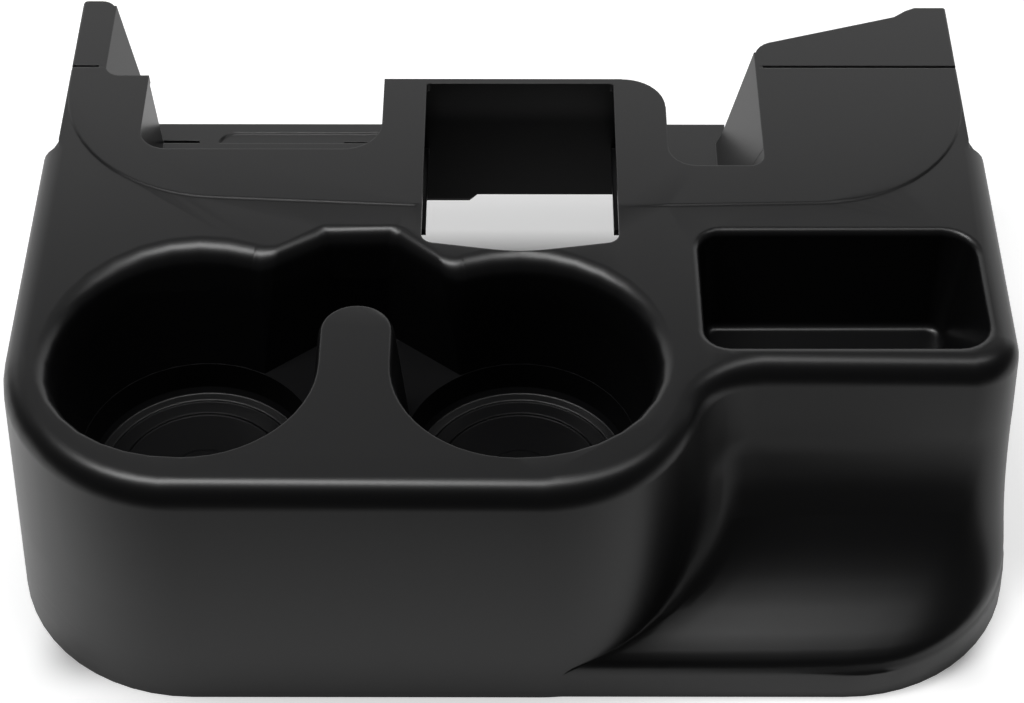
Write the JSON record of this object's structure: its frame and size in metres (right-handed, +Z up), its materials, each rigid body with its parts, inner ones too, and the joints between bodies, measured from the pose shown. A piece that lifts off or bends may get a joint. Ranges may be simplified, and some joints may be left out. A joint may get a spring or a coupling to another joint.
{
  "type": "car cup holder",
  "caption": "Moulded cup holder housing with round cup wells, a side pocket, a through chute and a stepped foot, for the floor of a truck.",
  "frame": {"origin": "middle of the footprint's bounding box, on the plane that the part stands on", "axes": "+X across the vehicle towards the pocket side, +Y towards the back of the part where the horns reach, +Z up"},
  "size_m": [0.3792, 0.2763, 0.1094],
  "materials": {
    "body_plastic": "fine grained satin black"
  },
  "bodies": {
    "root": {"cup_holder_body": "body_plastic"}
  },
  "joints": []
}
